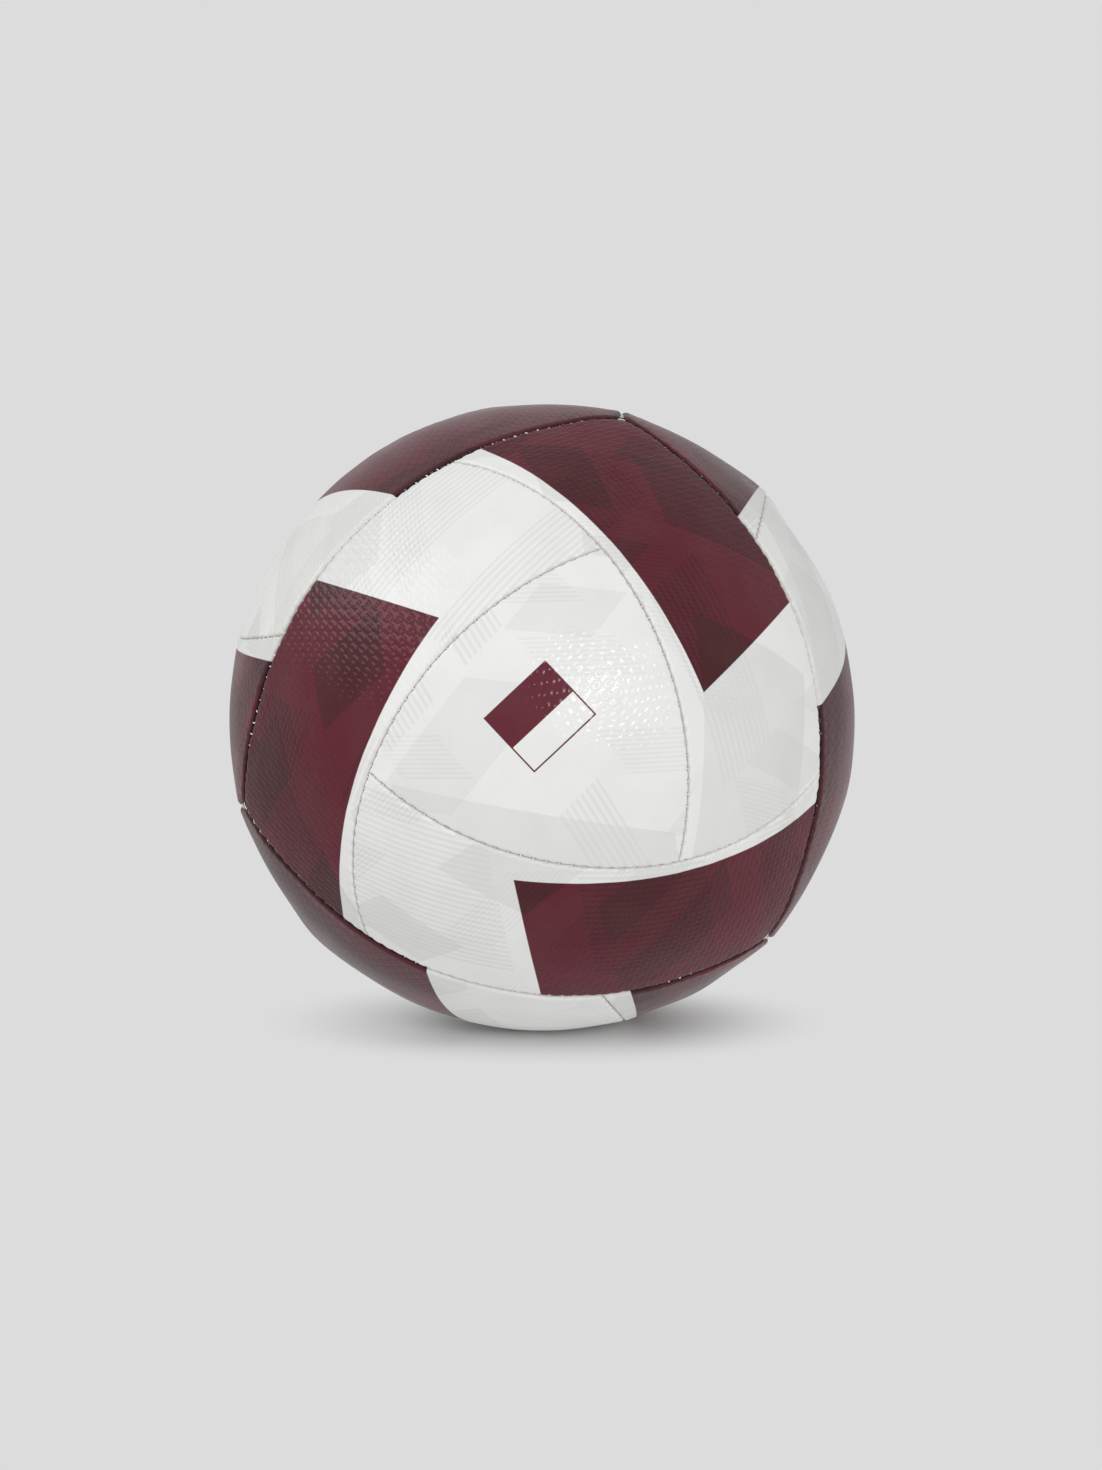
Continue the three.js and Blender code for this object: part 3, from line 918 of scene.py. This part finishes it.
def flattened(panel, points):
    """Points of a panel laid flat round its middle, in metres, to lay its print on."""
    sideways = unit(SIDEWAYS - panel.middle * (SIDEWAYS @ panel.middle))
    upwards = np.cross(panel.middle, sideways)
    angle = angles_from(points, panel.middle)
    reach = CROWN_RADIUS * angle / np.maximum(np.sin(angle), LEAST_SINE)
    return np.stack([points @ sideways * reach, points @ upwards * reach], axis=1)


def past_circle(points, polar, azimuth, angle):
    """Distance outwards past a circle on the ball."""
    return (angles_from(points, direction(polar, azimuth)) - angle) * CROWN_RADIUS


def cover_piece(name, panel, turn, seed, material, cut_shift=0.0, valve_axis=None):
    edge = RIM_GAP / 2

    def outside(points):
        radius = cover_radius(panel, points, turn, seed)
        if valve_axis is not None:
            share = np.clip((off_axis(points, valve_axis) - COVER_HOLE_RADIUS) / COVER_LIP_WIDTH, 0, 1)
            radius = radius - COVER_LIP_DROP * (1 - share) ** 2
        return radius

    def underside(points):
        return plain_radius(panel, points) - COVER_THICKNESS

    floor = even(SEAM_FLOOR)
    loops = [(edge + COVER_THICKNESS, underside), (edge + COVER_THICKNESS, floor), (edge, floor)]
    loops += [(edge + inset, outside) for inset in RIM_INSETS]
    under_face = (edge + COVER_THICKNESS + UNDERSIDE_INSET, underside)
    outer_face = (edge + FACE_INSET, outside)
    directions, radii, faces = panel_mesh(panel, loops, under_face, outer_face)
    if valve_axis is not None:
        directions, radii, faces = finer_lip(directions, radii, faces, valve_axis, outside)
    points = directions * radii[:, None] @ turn.T
    made = add_object(name, points, faces, material)
    add_plane(made.data, flattened(panel, directions) + PRINT_SHIFT * seed)
    # How far the cover lies below its own surface, which sets the painted shade in its seam grooves
    add_values(made.data, "sunk", plain_radius(panel, directions) + bulges(directions @ turn.T) - radii)
    if len(panel.sides) == 4:
        strip = past_circle(directions, STRIP_POLAR, STRIP_AZIMUTH, STRIP_ANGLE)
        cut = past_circle(directions, CUT_POLAR, CUT_AZIMUTH, CUT_ANGLE + cut_shift)
        add_values(made.data, "past_strip", strip)
        add_values(made.data, "past_cut", cut)
    if valve_axis is not None:
        punch_hole(made, turn @ valve_axis, COVER_HOLE_RADIUS)
    settle(made, name)


def on_lip(directions, radii, axis):
    """Which points lie on the outside of a cover, round its valve hole."""
    outside = radii > CROWN_RADIUS - (COVER_THICKNESS + COVER_LIP_DROP) / 2
    return outside & (off_axis(directions, axis) < COVER_LIP_REACH)


def finer_lip(directions, radii, faces, axis, outside):
    """Smaller faces on the outside of a cover round its valve hole, for a smooth lip."""
    lip = on_lip(directions, radii, axis)
    work = bmesh.new()
    corners = [work.verts.new(point) for point in directions * radii[:, None]]
    for face in faces:
        work.faces.new([corners[i] for i in face])
    work.verts.index_update()
    edges = [edge for edge in work.edges if all(lip[corner.index] for corner in edge.verts)]
    bmesh.ops.subdivide_edges(work, edges=edges, cuts=COVER_LIP_CUTS, use_grid_fill=True)
    work.verts.index_update()
    points = np.array([corner.co for corner in work.verts])
    finer_faces = [[corner.index for corner in face.verts] for face in work.faces]
    work.free()
    finer_radii = np.linalg.norm(points, axis=1)
    finer_directions = points / finer_radii[:, None]
    lip = on_lip(finer_directions, finer_radii, axis)
    finer_radii[lip] = outside(finer_directions[lip])
    return finer_directions, finer_radii, finer_faces


def punch_hole(made, axis, radius):
    """Cuts a round hole for the valve through a piece."""
    along = Vector(axis)
    facing = along.to_track_quat("Z", "Y").to_matrix()
    ring = [facing @ Vector(point) * radius for point in circle(1, 0, HOLE_SIDES)]
    low = [point + along * (CROWN_RADIUS - PUNCH_REACH) for point in ring]
    high = [point + along * (CROWN_RADIUS + PUNCH_REACH) for point in ring]
    count = len(ring)
    faces = [[i, (i + 1) % count, count + (i + 1) % count, count + i] for i in range(count)]
    faces += [list(range(count))[::-1], list(range(count, 2 * count))]
    punch = add_object("punch", np.array(low + high), faces, made.data.materials[0])
    cut = made.modifiers.new("hole", "BOOLEAN")
    cut.operation = "DIFFERENCE"
    cut.object = punch
    keep_evaluated(made)
    bpy.data.objects.remove(punch)


def keep_evaluated(made):
    """Turns an object's modified result into its own plain mesh."""
    bpy.context.view_layer.update()
    graph = bpy.context.evaluated_depsgraph_get()
    finished = made.evaluated_get(graph)
    mesh = bpy.data.meshes.new_from_object(finished, preserve_all_data_layers=True, depsgraph=graph)
    made.modifiers.clear()
    made.data = mesh


def foam_piece(name, panel, turn, material, valve_axis=None):
    edge = RIM_GAP / 2 + COVER_THICKNESS + FOAM_GAP

    def top(points):
        return plain_radius(panel, points) - COVER_THICKNESS - FOAM_GAP

    def rounded_top(points):
        return top(points) - FOAM_ROUNDING

    floor = even(FOAM_FLOOR)
    loops = [(edge, floor), (edge, rounded_top), (edge + FOAM_ROUNDING, top)]
    inner_edge = edge + FOAM_FACE_INSET
    directions, radii, faces = panel_mesh(panel, loops, (inner_edge, floor), (inner_edge, top))
    made = add_object(name, directions * radii[:, None] @ turn.T, faces, material)
    if valve_axis is not None:
        punch_hole(made, turn @ valve_axis, PATCH_RADIUS + VALVE_GAP)
    settle(made, name)


# Stitches

def stitch_tree(material):
    """Short threads set across a seam at even steps along its path."""
    tree = bpy.data.node_groups.new("stitches_along_seam", "GeometryNodeTree")
    for name, kind in (("Geometry", "Geometry"), ("Stitches", "Int"), ("Length", "Float")):
        tree.interface.new_socket(name, in_out="INPUT", socket_type=f"NodeSocket{kind}")
    tree.interface.new_socket("Geometry", in_out="OUTPUT", socket_type="NodeSocketGeometry")

    step = partial(add_node, tree)
    seam = step("NodeGroupInput", {})
    path = step("GeometryNodeMeshToCurve", {"Mesh": seam["Geometry"]})
    spacing = {"Curve": path["Curve"], "Count": seam["Stitches"]}
    places = step("GeometryNodeCurveToPoints", spacing, mode="COUNT")

    start, end = [calc(tree, "MULTIPLY", seam["Length"], share) for share in (-0.5, 0.5)]
    bend = {
        "Resolution": STITCH_CURVE_STEPS,
        "Start": step("ShaderNodeCombineXYZ", {"Y": start})[0],
        "Middle": (0, 0, THREAD_ARCH),
        "End": step("ShaderNodeCombineXYZ", {"Y": end})[0],
    }
    thread_path = step("GeometryNodeCurveQuadraticBezier", bend)
    round_section = {"Resolution": THREAD_SIDES, "Radius": THREAD_THICKNESS / 2}
    section = step("GeometryNodeCurvePrimitiveCircle", round_section)
    sweep = {"Curve": thread_path["Curve"], "Profile Curve": section["Curve"], "Fill Caps": True}
    thread = step("GeometryNodeCurveToMesh", sweep)

    outwards = step("GeometryNodeInputPosition", {})
    upright = step("FunctionNodeAlignRotationToVector", {"Vector": outwards[0]}, axis="Z")
    across = {"Rotation": upright["Rotation"], "Vector": places["Tangent"]}
    facing = step("FunctionNodeAlignRotationToVector", across, axis="X", pivot_axis="Z")
    slants = {2: STITCH_SLANT - STITCH_SLANT_SPREAD, 3: STITCH_SLANT + STITCH_SLANT_SPREAD}
    slant = step("FunctionNodeRandomValue", {**slants, "Seed": STITCH_SLANT_SEED})
    skew = step("FunctionNodeAxisAngleToRotation", {"Angle": slant[1]})
    slanting = {"Rotation": facing["Rotation"], "Rotate By": skew["Rotation"]}
    askew = step("FunctionNodeRotateRotation", slanting, rotation_space="LOCAL")

    setting = {"Points": places["Points"], "Instance": thread["Mesh"], "Rotation": askew["Rotation"]}
    copies = step("GeometryNodeInstanceOnPoints", setting)
    real = step("GeometryNodeRealizeInstances", {"Geometry": copies["Instances"]})
    smooth = step("GeometryNodeSetShadeSmooth", {"Geometry": real["Geometry"]})
    dyed = step("GeometryNodeSetMaterial", {"Geometry": smooth["Geometry"], "Material": material})
    step("NodeGroupOutput", {"Geometry": dyed["Geometry"]})
    return tree


def seam_stitches(name, sewing, turn, tree, tightness=0.0):
    """The thread of one seam, as a row of stitches down in its groove, deeper where it is tighter."""
    half_step = 0.5 / sewing.stitches
    steps = PATH_STEPS_PER_STITCH * sewing.stitches
    shares = np.linspace(half_step, 1 - half_step, steps)
    directions = swept(sewing.start, sewing.pole, sewing.turn * shares)
    placed = directions @ turn.T
    depth = SHOULDER_RADIUS + corner_rise(directions) - sewing.sink - tightness
    depth += STITCH_UNEVENNESS * waves(placed * CROWN_RADIUS, STITCH_UNEVENNESS_LENGTH, STITCH_SEED)
    points = placed * depth[:, None]
    made = add_plain(name, points, [[i, i + 1] for i in range(len(points) - 1)], [])
    row = made.modifiers.new("stitches", "NODES")
    row.node_group = tree
    sizes = {"Stitches": sewing.stitches, "Length": sewing.stitch_length}
    for item in tree.interface.items_tree:
        if item.name in sizes:
            row[item.identifier] = sizes[item.name]
    keep_evaluated(made)
    settle(made, name)


# Valve and bladder, turned about the axis of a unit

def eased(profile, ease):
    """A closed profile with its corners rounded off."""
    points = np.array(profile)
    smooth = []
    for i, point in enumerate(points):
        before = points[i - 1] - point
        after = points[(i + 1) % len(points)] - point
        if point[0] == 0:
            smooth.append(point)
            continue
        cut = min(ease, EASE_LIMIT * np.linalg.norm(before), EASE_LIMIT * np.linalg.norm(after))
        start = point + before / np.linalg.norm(before) * cut
        end = point + after / np.linalg.norm(after) * cut
        for t in np.linspace(0, 1, EASE_POINTS):
            smooth.append((1 - t) ** 2 * start + 2 * t * (1 - t) * point + t ** 2 * end)
    return np.array(smooth)


def dish(radius, first, second, steps):
    """Profile points on a sphere round the ball's centre, between two distances off the axis."""
    distances = np.linspace(first, second, steps + 1)
    return [(r, sqrt(radius ** 2 - r ** 2)) for r in distances]


def turned_piece(name, profile, sides, turn, material):
    """A solid of revolution about a unit's axis from a closed profile, outside to the right of its way."""
    rings = []
    points = []
    for radius, height in profile:
        if radius == 0:
            rings.append([len(points)] * sides)
            points.append((0, 0, height))
            continue
        rings.append(list(range(len(points), len(points) + sides)))
        points += circle(radius, height, sides)
    faces = []
    for i, ring in enumerate(rings):
        after = rings[(i + 1) % len(rings)]
        for j in range(sides):
            k = (j + 1) % sides
            corners = list(dict.fromkeys([ring[j], ring[k], after[k], after[j]]))
            if len(corners) > 2:
                faces.append(corners)
    made = add_object(name, np.array(points) @ turn.T, faces, material)
    settle(made, name)


def valve_pieces(turn):
    rubber = rubber_material("valve_rubber", VALVE_SHADES, VALVE_ROUGHNESS)
    body = [(BORE_RADIUS, STEM_FLOOR), (STEM_RADIUS, STEM_FLOOR)]
    body += dish(FLANGE_FLOOR, STEM_RADIUS, FLANGE_RADIUS, FLANGE_STEPS)
    body += dish(FLANGE_TOP, FLANGE_RADIUS, BOSS_RADIUS, FLANGE_STEPS)
    body += [(BOSS_RADIUS, BOSS_TOP), (BORE_RADIUS, BOSS_TOP)]
    turned_piece("valve_body", eased(body, BODY_EASE), BODY_SIDES, turn, rubber)
    foot_top = STEM_FLOOR - VALVE_GAP
    core = [
        (0, foot_top - CORE_FOOT_HEIGHT),
        (CORE_FOOT_RADIUS, foot_top - CORE_FOOT_HEIGHT),
        (CORE_FOOT_RADIUS, foot_top),
        (CORE_RADIUS, foot_top),
        (CORE_RADIUS, BOSS_TOP),
        (NEEDLE_MOUTH_RADIUS, BOSS_TOP),
        (NEEDLE_TIP_RADIUS, BOSS_TOP - NEEDLE_DEPTH),
        (0, BOSS_TOP - NEEDLE_DEPTH),
    ]
    turned_piece("valve_core", eased(core, CORE_EASE), CORE_SIDES, turn, rubber)
    patch = dish(PATCH_FLOOR, COVER_HOLE_RADIUS, PATCH_RADIUS, PATCH_STEPS)
    patch += dish(PATCH_TOP, PATCH_RADIUS, COVER_HOLE_RADIUS, PATCH_STEPS)
    cloth = cloth_material()
    turned_piece("valve_patch", eased(patch, PATCH_EASE), PATCH_SIDES, turn, cloth)
    hole = asin((STEM_RADIUS + VALVE_GAP) / BLADDER_RADIUS)
    angles = np.linspace(pi, hole, BLADDER_RINGS)
    inside = BLADDER_RADIUS - BLADDER_WALL
    shell = [(BLADDER_RADIUS * sin(a), BLADDER_RADIUS * cos(a)) for a in angles]
    shell[0] = (0, -BLADDER_RADIUS)
    shell += [(inside * sin(a), inside * cos(a)) for a in angles[::-1]]
    shell[-1] = (0, -inside)
    bladder_rubber = rubber_material("bladder_rubber", BLADDER_SHADES, BLADDER_ROUGHNESS)
    turned_piece("bladder", shell, BLADDER_SIDES, turn, bladder_rubber)


# The whole ball

LYING = turning(UNIT_AXIS, FRONT_YAW) @ turning(SIDEWAYS, pi / 2 - FRONT_PITCH)
LYING = LYING @ turning(UNIT_AXIS, FRONT_ROLL)
UNITS = [
    ("front", None, ["upper", "lower", "right"]),
    ("upper", 0, [None, "right", "lower"]),
    ("lower", 1, ["right", None, None]),
    ("right", 2, [None, None, None]),
]


def unit_turn(hinge):
    if hinge is None:
        return LYING
    middle = unit(CORNERS[hinge] + CORNERS[(hinge + 1) % 3])
    return LYING @ turning(middle, pi)


def build_ball():
    white = centre_cover_material("white_cover")
    labelled = centre_cover_material("white_cover_with_block", labelled=True)
    coloured = blade_cover_material()
    foam = foam_material()
    stitches = stitch_tree(thread_material())
    centre, blade = centre_panel(RIM_STEP, INNER_STEPS), blade_panel(RIM_STEP, INNER_STEPS)
    centre_backing, blade_backing = centre_panel(FOAM_STEP, 1), blade_panel(FOAM_STEP, 1)
    seed = 0
    for unit_name, hinge, edges in UNITS:
        turn = unit_turn(hinge)
        valve_axis = UNIT_AXIS if unit_name == "right" else None
        skin = labelled if unit_name == "front" else white
        cover_piece(f"centre_panel_{unit_name}", centre, turn, seed, skin,
                    valve_axis=valve_axis)
        foam_piece(f"centre_foam_{unit_name}", centre_backing, turn, foam, valve_axis)
        for k in range(3):
            seed += 1
            blade_turn = turn @ turning(UNIT_AXIS, k * THIRD_TURN)
            cut_shift = FRONT_CUT_SHIFTS[k] if unit_name == "front" else 0.0
            cover_piece(f"blade_panel_{unit_name}_{k + 1}", blade, blade_turn, seed, coloured,
                        cut_shift=cut_shift)
            foam_piece(f"blade_foam_{unit_name}_{k + 1}", blade_backing, blade_turn, foam)
            seam_stitches(f"blade_thread_{unit_name}_{k + 1}", ARC_SEWING, blade_turn, stitches)
            if edges[k]:
                seam = f"{unit_name}_{edges[k]}"
                tightness = TIGHTER_SEAMS.get(seam, 0.0)
                seam_stitches(f"edge_thread_{seam}", EDGE_SEWING, blade_turn, stitches, tightness)
        if valve_axis is not None:
            valve_pieces(turn)
        seed += 1


build_ball()


# Studio

BACKGROUND = srgb(220, 220, 220)
FLOOR_HEIGHT = cad_box[0].z
SHADOW_CORE = 8 * MM
SHADOW_REACH = 43.5 * MM
SHADOW_WIDENING = 1.6
CONTACT_REACH = 32 * MM
SKY_LEVEL = 0.64
# The floor round the ball is a darker grey than the backdrop. This is painted shade that deepens the traced
# shadow, and it fades into the even backdrop further out.
SHADE_FLOOR_GREY = srgb(190, 190, 190)
FLOOR_ROUGHNESS = 0.9
FLOOR_SPECULAR = 0.1
FLOOR_SIDES = 64
FLOOR_RADII = (0.05, 0.1, 0.2, 0.4, 0.8, 1.6, 3.2)
IMAGE_HEIGHT = 1470
SENSOR_WIDTH = 36
LENS_LENGTH = 68.65
SIDE_SHIFT_PIXELS = 8.5
UP_SHIFT_PIXELS = -17.5
CAMERA_PLACE = (0, -0.6462, 0.0908)


def floor_material():
    material, tree, shader = new_material("studio_floor")
    # Darker grey floor near the ball: painted shade under its traced shadow
    matt = {"Base Color": SHADE_FLOOR_GREY, "Roughness": FLOOR_ROUGHNESS, "Specular IOR Level": FLOOR_SPECULAR}
    feed(tree, shader, matt)
    glow = add_node(tree, "ShaderNodeEmission", {"Color": BACKGROUND})
    place = laid(tree, object_place(tree), scale=(1 / SHADOW_WIDENING, 1, 1))
    away = vector_calc(tree, "LENGTH", place, output="Value")
    unseen = calc(tree, "SUBTRACT", 1.0, light_path(tree)["Is Camera Ray"])
    bounced = calc(tree, "MULTIPLY", ramp(tree, away, 0, CONTACT_REACH), unseen)
    share = calc(tree, "MAXIMUM", ramp(tree, away, SHADOW_CORE, SHADOW_REACH), bounced)
    blend = add_node(tree, "ShaderNodeMixShader", {0: share, 1: shader.outputs["BSDF"], 2: glow[0]})
    feed(tree, tree.nodes["Material Output"], {"Surface": blend[0]})
    return material


def build_floor():
    points = []
    for radius in FLOOR_RADII:
        points += circle(radius, 0, FLOOR_SIDES)
    faces = [list(range(FLOOR_SIDES))]
    for low in range(0, len(points) - FLOOR_SIDES, FLOOR_SIDES):
        high = low + FLOOR_SIDES
        for j in range(FLOOR_SIDES):
            k = (j + 1) % FLOOR_SIDES
            faces.append([low + j, high + j, high + k, low + k])
    floor = add_object("floor", np.array(points), faces, floor_material())
    floor.location.z = FLOOR_HEIGHT


def build_world():
    world = bpy.data.worlds.new("studio")
    bpy.context.scene.world = world
    world.use_nodes = True
    tree = world.node_tree
    rays = light_path(tree)
    seen = calc(tree, "MAXIMUM", rays["Is Camera Ray"], rays["Is Glossy Ray"])
    seen = calc(tree, "MAXIMUM", seen, rays["Is Transmission Ray"])
    colour = mixed(tree, seen, (SKY_LEVEL, SKY_LEVEL, SKY_LEVEL, 1), BACKGROUND)
    feed(tree, tree.nodes["Background"], {"Color": colour})


def aimed(name, data, place):
    """Sets up a lamp or the camera so that it faces the ball."""
    made = bpy.data.objects.new(name, data)
    made.location = place
    made.rotation_euler = (-Vector(place)).to_track_quat("-Z", "Y").to_euler()
    bpy.context.scene.collection.objects.link(made)
    return made


def softbox(name, place, size, power, shines=True):
    """A lamp. One that doesn't shine lights the ball without a gloss."""
    lamp = bpy.data.lights.new(name, "AREA")
    lamp.shape = "RECTANGLE"
    lamp.size, lamp.size_y = size
    lamp.energy = power
    aimed(name, lamp, place).visible_glossy = shines


def build_lights():
    softbox("key_softbox", place=(-0.79, -0.14, 0.6), size=(0.85, 0.3), power=2.8)
    softbox("front_softbox", place=(0.35, -1.0, 0.34), size=(0.25, 0.2), power=3.2)
    softbox("low_softbox", place=(-0.1, -1.1, -0.02), size=(1.2, 0.08), power=1.1, shines=False)


def build_camera():
    lens = bpy.data.cameras.new("camera")
    lens.sensor_width = SENSOR_WIDTH
    lens.lens = LENS_LENGTH
    lens.shift_x = SIDE_SHIFT_PIXELS / IMAGE_HEIGHT
    lens.shift_y = UP_SHIFT_PIXELS / IMAGE_HEIGHT
    bpy.context.scene.camera = aimed("camera", lens, CAMERA_PLACE)


build_floor()
build_world()
build_lights()
build_camera()
bpy.context.scene.view_settings.view_transform = "Standard"
